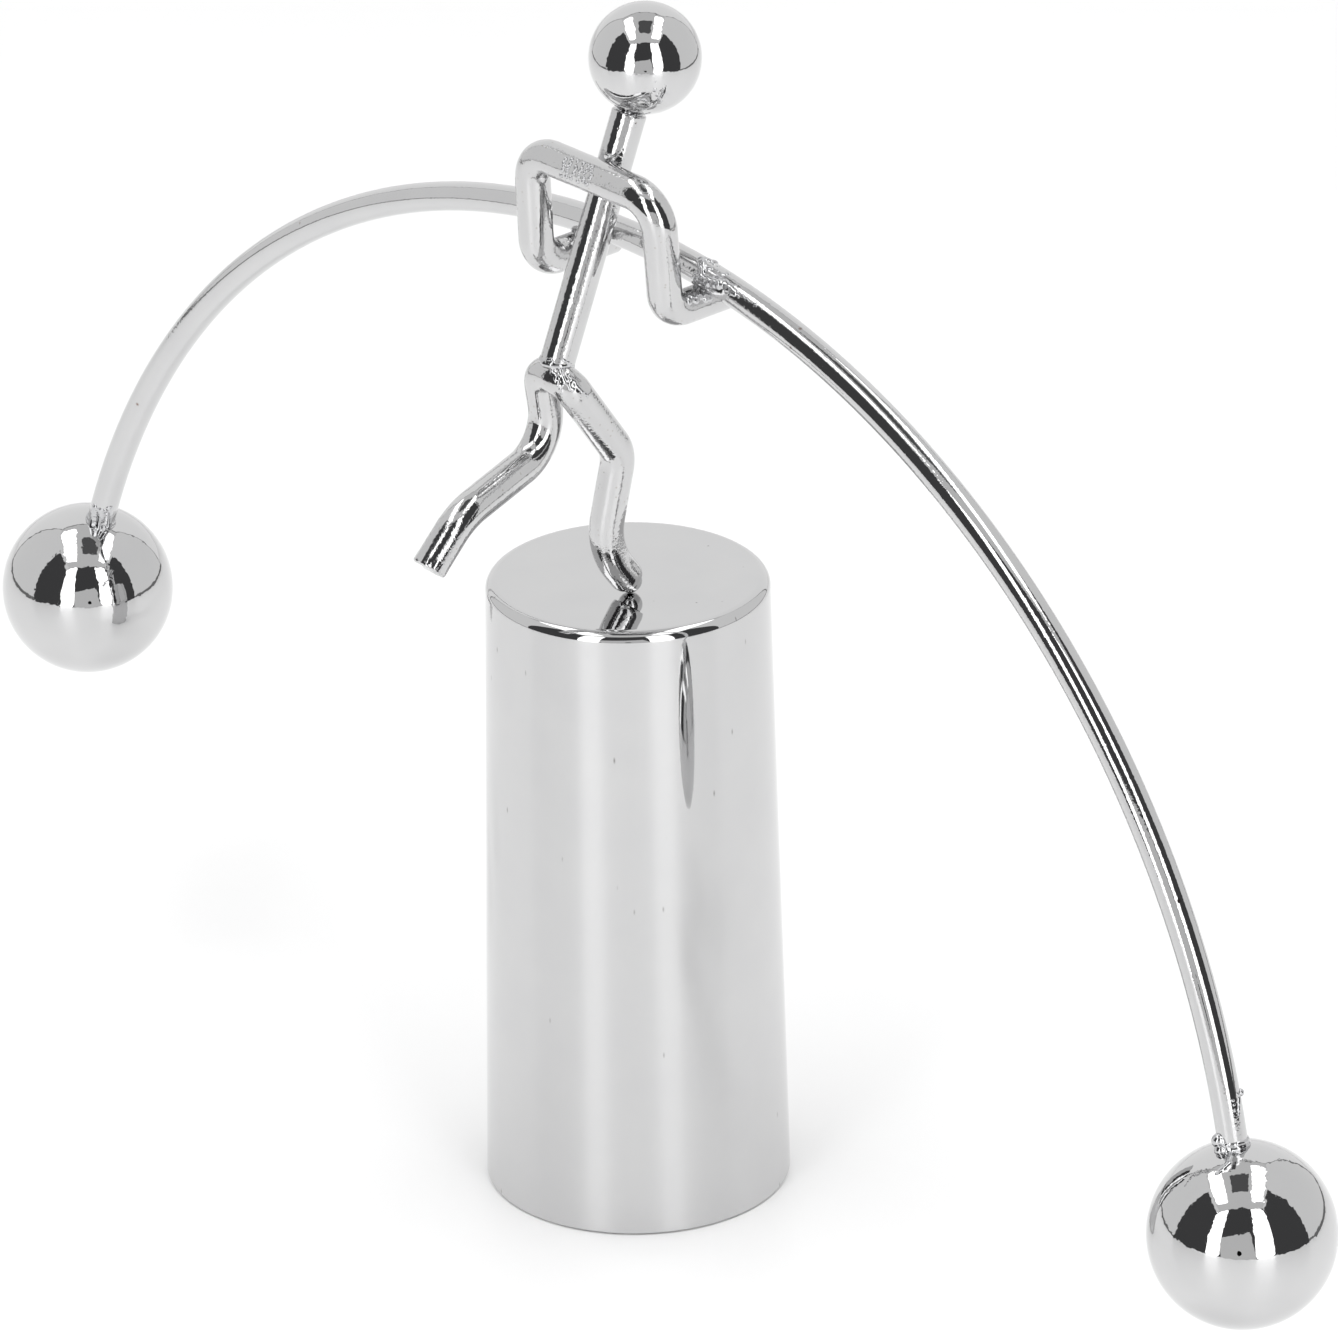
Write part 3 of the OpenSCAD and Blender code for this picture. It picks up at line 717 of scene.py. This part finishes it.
def chrome(name, bright, dull, wave, wave_um, peel, peel_um, haze, pit_spacing, pit, pit_um, pit_tone,
           pit_stretch=1.0):
    """Chrome plated over nickel on polished steel: a mirror whose reflections waver a little where the
    steel below was drawn or bent, with an orange peel in patches, a breath of haze and a few pits, which
    pit_stretch draws out upwards into scratches."""
    finish, tree = new_finish(name)
    spot = add(tree, "ShaderNodeTexCoord").outputs["Object"]
    waves = add(tree, "ShaderNodeTexNoise", {"Vector": spot, "Scale": per_mm(wave), "Detail": 1.0})
    grain = add(tree, "ShaderNodeTexNoise", {"Vector": spot, "Scale": per_mm(peel), "Detail": 2.0})
    cloud = add(tree, "ShaderNodeTexNoise", {"Vector": spot, "Scale": per_mm(PATCH), "Detail": 4.0})
    drawn = add(tree, "ShaderNodeMapping", {"Vector": spot, "Scale": (1, 1, 1 / pit_stretch)})
    cells = add(tree, "ShaderNodeTexVoronoi", {"Vector": drawn.outputs["Vector"],
                                              "Scale": per_mm(pit_spacing)})
    hole = add(tree, "ShaderNodeMapRange", {"Value": cells.outputs["Distance"], "From Min": 0.0,
                                           "From Max": pit / pit_spacing, "To Min": 1.0, "To Max": 0.0})
    chosen = add(tree, "ShaderNodeSeparateColor", {"Color": cells.outputs["Color"]})
    few = add(tree, "ShaderNodeMath", {0: chosen.outputs["Red"], 1: PIT_SHARE}, operation="LESS_THAN")
    pits = add(tree, "ShaderNodeMath", {0: hole.outputs["Result"], 1: few.outputs[0]}, operation="MULTIPLY")
    swell = add(tree, "ShaderNodeMath", {0: waves.outputs["Fac"], 1: wave_um}, operation="MULTIPLY")
    patch = add(tree, "ShaderNodeMapRange", {"Value": cloud.outputs["Fac"], "From Min": PEEL_FROM,
                                            "From Max": PEEL_TO, "To Min": peel_um * CALM_PEEL,
                                            "To Max": peel_um})
    level = add(tree, "ShaderNodeMath", {0: grain.outputs["Fac"], 1: 0.5}, operation="SUBTRACT")
    rise = add(tree, "ShaderNodeMath", {0: level.outputs[0], 1: patch.outputs["Result"], 2: swell.outputs[0]},
               operation="MULTIPLY_ADD")
    height = add(tree, "ShaderNodeMath", {0: pits.outputs[0], 1: -pit_um, 2: rise.outputs[0]},
                 operation="MULTIPLY_ADD")
    bump = add(tree, "ShaderNodeBump", {"Height": height.outputs[0], "Strength": 1.0, "Distance": MICROMETRE})
    tone = add(tree, "ShaderNodeMix", {"Factor": cloud.outputs["Fac"], "A": linear(bright),
                                      "B": linear(dull)}, data_type="RGBA")
    stained = add(tree, "ShaderNodeMix", {"Factor": pits.outputs[0], "A": tone.outputs["Result"],
                                         "B": linear(pit_tone)}, data_type="RGBA")
    rough = add(tree, "ShaderNodeMapRange", {"Value": cloud.outputs["Fac"], "From Min": HAZE_FROM,
                                            "From Max": HAZE_TO, "To Min": haze[0], "To Max": haze[1]})
    shader = add(tree, "ShaderNodeBsdfPrincipled", {
        "Base Color": stained.outputs["Result"], "Metallic": 1.0, "Roughness": rough.outputs["Result"],
        "Normal": bump.outputs["Normal"]})
    add(tree, "ShaderNodeOutputMaterial", {"Surface": shader.outputs["BSDF"]})
    return finish


def plain_finish(name, light, dark, grain, grain_um, rough):
    """A dull surface with a fine grain: light and dark are the ends of its colour."""
    finish, tree = new_finish(name)
    spot = add(tree, "ShaderNodeTexCoord").outputs["Object"]
    speck = add(tree, "ShaderNodeTexNoise", {"Vector": spot, "Scale": per_mm(grain), "Detail": 5.0})
    tone = add(tree, "ShaderNodeMix", {"Factor": speck.outputs["Fac"], "A": linear(dark), "B": linear(light)},
               data_type="RGBA")
    height = add(tree, "ShaderNodeMath", {0: speck.outputs["Fac"], 1: grain_um}, operation="MULTIPLY")
    bump = add(tree, "ShaderNodeBump", {"Height": height.outputs[0], "Strength": 1.0, "Distance": MICROMETRE})
    shader = add(tree, "ShaderNodeBsdfPrincipled", {
        "Base Color": tone.outputs["Result"], "Roughness": rough, "Normal": bump.outputs["Normal"]})
    add(tree, "ShaderNodeOutputMaterial", {"Surface": shader.outputs["BSDF"]})
    return finish


# Turned and buffed before plating, so it is the flattest mirror on the toy, with a few short scratches
STAND_CHROME = chrome("buffed_chrome_on_steel", "#CECECE", "#C8C8C9", wave=14.0, wave_um=8.0, peel=1.6,
                      peel_um=2.5, haze=(0.02, 0.05), pit_spacing=1.5, pit=0.14, pit_um=5.0,
                      pit_tone="#7E7C7A", pit_stretch=3.0)
# Wire bent by hand and tumbled, so its streaks are ragged in patches and a few pits show the steel
WIRE_CHROME = chrome("tumbled_chrome_on_wire", "#CECECE", "#C5C5C6", wave=3.0, wave_um=20.0, peel=0.32,
                     peel_um=32.0, haze=(0.03, 0.07), pit_spacing=0.5, pit=0.13, pit_um=10.0,
                     pit_tone="#A8A29C")
# Drawn wire rolled into an arch, smoother than the figure, with specks where the plating missed
BAR_CHROME = chrome("chrome_on_drawn_wire", "#CECECE", "#C8C8C9", wave=5.0, wave_um=12.0, peel=0.4,
                    peel_um=14.0, haze=(0.03, 0.07), pit_spacing=2.6, pit=0.24, pit_um=14.0,
                    pit_tone="#7A5A48")
# Rolled steel balls, which are rounder and smoother than the wire
BALL_CHROME = chrome("chrome_on_rolled_balls", "#CFCFCF", "#C9C9CA", wave=5.0, wave_um=16.0, peel=1.0,
                     peel_um=28.0, haze=(0.02, 0.05), pit_spacing=5.0, pit=0.2, pit_um=10.0,
                     pit_tone="#8C8A88")
# Weld left as it set, so the plating over it sparkles
WELD_CHROME = chrome("chrome_on_rough_weld", "#CDCDCE", "#BCBDBF", wave=1.0, wave_um=10.0, peel=0.3,
                     peel_um=3.0, haze=(0.05, 0.12), pit_spacing=2.0, pit=0.14, pit_um=10.0,
                     pit_tone="#8A8580")
# Left as it came from the sand: dark, dull and grainy
IRON = plain_finish("sand_cast_iron", "#4A4A4C", "#2C2C2E", grain=0.8, grain_um=60.0, rough=0.7)
# Moulded with a fine grain, so it is dark with a soft sheen
PLATE = plain_finish("moulded_black_plastic", "#2A2A2B", "#1E1E1F", grain=0.5, grain_um=12.0, rough=0.5)
# Cut from sheet foam: nearly black, with open pores and no sheen
FOAM = plain_finish("foam_rubber_pad", "#1C1C1C", "#101010", grain=0.6, grain_um=80.0, rough=0.9)


def dress_toy():
    """Makes each piece that shows, and gives the three that don't their finish."""
    chance = random.Random(WELD_CHANCE)
    seated(stand(), STAND_CHROME, "stand", "stand_chrome", "pedestal_shell")
    seated(toe_ball(), BALL_CHROME, "toe_ball", "chrome", "toe_point")
    seated(toe_cup(), WELD_CHROME, "toe_cup", "chrome", "toe_weld")
    wires = {"leg_rod": leg(), "torso_rod": torso(), "arm_rod": arms(), "balance_bar": bar()}
    balls = {"head_ball": head(), "left_ball": counterweight("left_counterweight", LEFT_BALL_R, -1),
             "right_ball": counterweight("right_counterweight", RIGHT_BALL_R, 1)}
    bpy.context.view_layer.update()
    legs, body, arm_wire, arched_bar = wires.values()
    head_ball, left_ball, right_ball = balls.values()
    welds = {
        "hip_weld": weld("hip_seam", hip_drops(legs, body, chance)),
        "neck_weld": weld("neck_seam", neck_drops(body, head_ball, chance)),
        "shoulder_weld": weld("shoulder_seam", shoulder_drops(arm_wire, chance), skin=0.05, ease=1),
        "right_hand_weld": weld("right_hand_web", right_hand_drops(arm_wire, arched_bar, chance)),
        "left_hand_weld": weld("left_hand_curl", left_hand_drops()),
        "left_ball_weld": weld("left_ball_collar", left_collar_drops(left_ball, arched_bar, chance),
                               skin=0.06, ease=12, ripple=0.01),
        "right_ball_weld": weld("right_ball_collar", right_collar_drops(right_ball, arched_bar, chance),
                                skin=0.06, ease=12, ripple=0.01),
    }
    for finish, pieces in ((WIRE_CHROME, wires), (BALL_CHROME, balls), (WELD_CHROME, welds)):
        for node, piece in pieces.items():
            seated(piece, BAR_CHROME if node == "balance_bar" else finish, "figure", "chrome", node)
    for node, finish in (("ballast_slug", IRON), ("base_plate", PLATE), ("foot_pad", FOAM)):
        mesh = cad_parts[node].data
        mesh.materials.clear()
        mesh.materials.append(finish)


# The studio: a white box tent with two lamps in front and two above. Spans are in millimetres from the
# stand's axis: towards the camera, to the camera's right, and up. Cards that lie over each other are a few
# millimetres apart
FRONT = 520.0
BACK = -450.0
LEFT_WALL = -425.0
RIGHT_WALL = 380.0
CEILING = 750.0
WALLS = (LEFT_WALL, RIGHT_WALL)
FRONT_TOP = 780.0
DARK_TOP = 690.0
LEFT_DARK_FROM = 52.0
RIGHT_DARK_FROM = 115.0
ROOF_OPENING = ((-105.0, 210.0), (-98.0, 124.0))
FLAP_ACROSS = (-205.0, 140.0)
FLAP_UP = (-100.0, 250.0)
LENS_ACROSS = (-24.0, 20.0)
LENS_UP = (38.0, 84.0)
LENS_CORNER = 22.0
FRONT_LAMPS = (("left", (-430.0, -210.0)), ("right", (150.0, 365.0)))
ROOF_LAMPS = (("left", (-400.0, -190.0)), ("right", (170.0, 365.0)))
ROOF_LAMP_DEPTH = (-335.0, 375.0)
LAMP_TOP = 730.0
SEAM = 18.0
LAMP_CORNER = 45.0
FLAP_TILT = math.radians(11)
STRIP_GLOW = 2.6
SURROUND = 0.8
FLOOR_W = 6000.0


def tent_place(forward, right, up):
    """Place in metres of a point of the studio."""
    return (TO_CAMERA * forward + TO_RIGHT * right + UP * up) * MM


def spread_out(forward, right, up):
    """Middle of a flat thing and its two sides, in metres. Two of its places are spans, the third a level."""
    spans = [place if isinstance(place, tuple) else (place, place) for place in (forward, right, up)]
    sides = [axis * (b - a) * MM for axis, (a, b) in zip((TO_CAMERA, TO_RIGHT, UP), spans) if a != b]
    return tent_place(*[(a + b) / 2 for a, b in spans]), sides


def light_strip(name, face, facing, forward, right, up):
    """A strip lamp of one even brightness; its face with round corners is seen only in reflections."""
    middle, (across, along) = spread_out(forward, right, up)
    bpy.ops.object.select_all(action="DESELECT")
    bpy.ops.object.light_add(type="AREA", location=middle)
    lamp = bpy.context.object
    lamp.name = name
    side = along.cross(-facing).normalized()
    lamp.matrix_world = (Matrix.Translation(middle)
                         @ Matrix((side, along.normalized(), -facing)).transposed().to_4x4())
    lamp.data.shape = "RECTANGLE"
    lamp.data.size = across.length
    lamp.data.size_y = along.length
    lamp.data.energy = STRIP_GLOW * math.pi * across.length * along.length
    lamp.visible_camera = False
    lamp.visible_glossy = False
    card(name + "_face", face, forward, right, up, LAMP_CORNER)


def glow_finish(name, code, strength=1.0):
    """A surface of one even brightness, as a lit cloth or a dark opening shows in a mirror."""
    finish, tree = new_finish(name)
    shader = add(tree, "ShaderNodeEmission", {"Color": linear(code), "Strength": strength})
    add(tree, "ShaderNodeOutputMaterial", {"Surface": shader.outputs["Emission"]})
    return finish


def card(name, finish, forward, right, up, corner=0.0, tilt=0.0):
    """A card of the tent that shows in the chrome and nowhere else."""
    middle, (across, along) = spread_out(forward, right, up)
    bpy.ops.object.select_all(action="DESELECT")
    bpy.ops.mesh.primitive_plane_add(size=1.0)
    made = bpy.context.object
    made.name = name
    made.scale = (across.length, along.length, 1)
    bpy.ops.object.transform_apply(location=False, rotation=False, scale=True)
    if corner:
        bpy.ops.object.mode_set(mode="EDIT")
        bpy.ops.mesh.select_all(action="SELECT")
        bpy.ops.mesh.bevel(offset=corner * MM, segments=8, affect="VERTICES")
        bpy.ops.object.mode_set(mode="OBJECT")
    facing = across.cross(along).normalized()
    turn = Matrix((across.normalized(), along.normalized(), facing)).transposed().to_4x4()
    made.matrix_world = Matrix.Translation(middle) @ Matrix.Rotation(tilt, 4, facing) @ turn
    made.data.materials.append(finish)
    made.visible_camera = False
    made.visible_diffuse = False
    made.visible_transmission = False
    made.visible_shadow = False


def tent():
    """Walls, ceiling, seams and lamps of the tent."""
    dark = glow_finish("open_room", "#484849")
    wall = glow_finish("tent_wall", "#EFEFEF")
    roof = glow_finish("tent_roof", "#DCDCDC")
    seam = glow_finish("tent_seam", "#7C7C7C")
    card("front_opening", dark, FRONT, WALLS, (0.0, FRONT_TOP))
    card("roof", roof, (BACK, FRONT), WALLS, CEILING)
    card("roof_opening", glow_finish("roof_opening", "#5C5C5D"), *ROOF_OPENING, CEILING - 2)
    card("back_roof_seam", seam, (BACK, BACK + SEAM), WALLS, CEILING - 1)
    for name, place, inside, dark_from in (("left", LEFT_WALL, 1.0, LEFT_DARK_FROM),
                                           ("right", RIGHT_WALL, -1.0, RIGHT_DARK_FROM)):
        card(name + "_wall", wall, (BACK, FRONT), place, (0.0, CEILING))
        card(name + "_dark_wall", dark, (dark_from, FRONT), place + inside, (0.0, DARK_TOP))
        card(name + "_floor_seam", seam, (BACK, dark_from), place + inside, (0.0, SEAM))
        card(name + "_back_seam", seam, BACK, tuple(sorted((place, place + inside * SEAM))), (0.0, CEILING))
    card("flap", glow_finish("tent_flap", "#D9D9D9"), FRONT - 4, FLAP_ACROSS, FLAP_UP, tilt=FLAP_TILT)
    card("lens_hole", glow_finish("lens_hole", "#101010"), FRONT - 7, LENS_ACROSS, LENS_UP, LENS_CORNER)
    face = glow_finish("lamp_face", "#FFFFFF", STRIP_GLOW)
    for side, across in FRONT_LAMPS:
        light_strip("front_strip_" + side, face, -TO_CAMERA, FRONT - 6, across, (0.0, LAMP_TOP))
    for side, across in ROOF_LAMPS:
        light_strip("roof_strip_" + side, face, -UP, ROOF_LAMP_DEPTH, across, CEILING - 5)


def floor_finish():
    """Smooth white vinyl: pale, with a soft gloss and hardly a mark."""
    finish, tree = new_finish("smooth_white_vinyl")
    spot = add(tree, "ShaderNodeTexCoord").outputs["Object"]
    cloud = add(tree, "ShaderNodeTexNoise", {"Vector": spot, "Scale": per_mm(60.0), "Detail": 3.0})
    tone = add(tree, "ShaderNodeMix", {"Factor": cloud.outputs["Fac"], "A": linear("#F6F6F6"),
                                      "B": linear("#F3F3F3")}, data_type="RGBA")
    shader = add(tree, "ShaderNodeBsdfPrincipled", {"Base Color": tone.outputs["Result"], "Roughness": 0.4})
    add(tree, "ShaderNodeOutputMaterial", {"Surface": shader.outputs["BSDF"]})
    return finish


def studio():
    """Pale floor, the tent that the chrome mirrors, and an even white surround."""
    bpy.ops.object.select_all(action="DESELECT")
    bpy.ops.mesh.primitive_plane_add(size=FLOOR_W * MM, location=(0, 0, 0))
    floor = bpy.context.object
    floor.name = "floor"
    floor.data.materials.append(floor_finish())
    tent()
    world = bpy.data.worlds.new("white_tent")
    bpy.context.scene.world = world
    world.use_nodes = True
    tree = world.node_tree
    tree.nodes.clear()
    ray = add(tree, "ShaderNodeLightPath")
    seen = add(tree, "ShaderNodeMath", {0: ray.outputs["Is Camera Ray"], 1: ray.outputs["Is Glossy Ray"]},
               operation="MAXIMUM")
    shown = add(tree, "ShaderNodeMath", {0: seen.outputs[0], 1: ray.outputs["Is Transmission Ray"]},
                operation="MAXIMUM")
    lighting = add(tree, "ShaderNodeBackground", {"Color": (1, 1, 1, 1), "Strength": SURROUND})
    white = add(tree, "ShaderNodeBackground", {"Color": (1, 1, 1, 1), "Strength": 1.0})
    both = add(tree, "ShaderNodeMixShader", {0: shown.outputs[0], 1: lighting.outputs[0],
                                            2: white.outputs[0]})
    add(tree, "ShaderNodeOutputWorld", {"Surface": both.outputs[0]})


def camera():
    """Camera at the photograph's angle: from behind the figure's right shoulder, a little above."""
    c, s = math.cos(CAMERA_ROLL), math.sin(CAMERA_ROLL)
    across, lens_up = TO_RIGHT * c - SEEN_UP * s, SEEN_UP * c + TO_RIGHT * s
    aim = ((AIM_PIXEL[0] - PHOTO_W / 2) / FOCAL_PIXELS * CAMERA_AWAY,
           (AIM_PIXEL[1] - PHOTO_H / 2) / FOCAL_PIXELS * CAMERA_AWAY)
    place = Vector((0, 0, AIM_HEIGHT)) - across * aim[0] + lens_up * aim[1] + SEEN_FROM * CAMERA_AWAY
    bpy.ops.object.select_all(action="DESELECT")
    bpy.ops.object.camera_add()
    made = bpy.context.object
    turn = Matrix((across, lens_up, SEEN_FROM)).transposed().to_4x4()
    made.matrix_world = Matrix.Translation(place * MM) @ turn
    made.data.sensor_fit = "HORIZONTAL"
    made.data.sensor_width = SENSOR_W
    made.data.lens = FOCAL_PIXELS / PHOTO_W * SENSOR_W
    made.data.clip_start = CLIP_NEAR * MM
    bpy.context.scene.camera = made


dress_toy()
studio()
camera()
bpy.context.scene.view_settings.view_transform = "Standard"
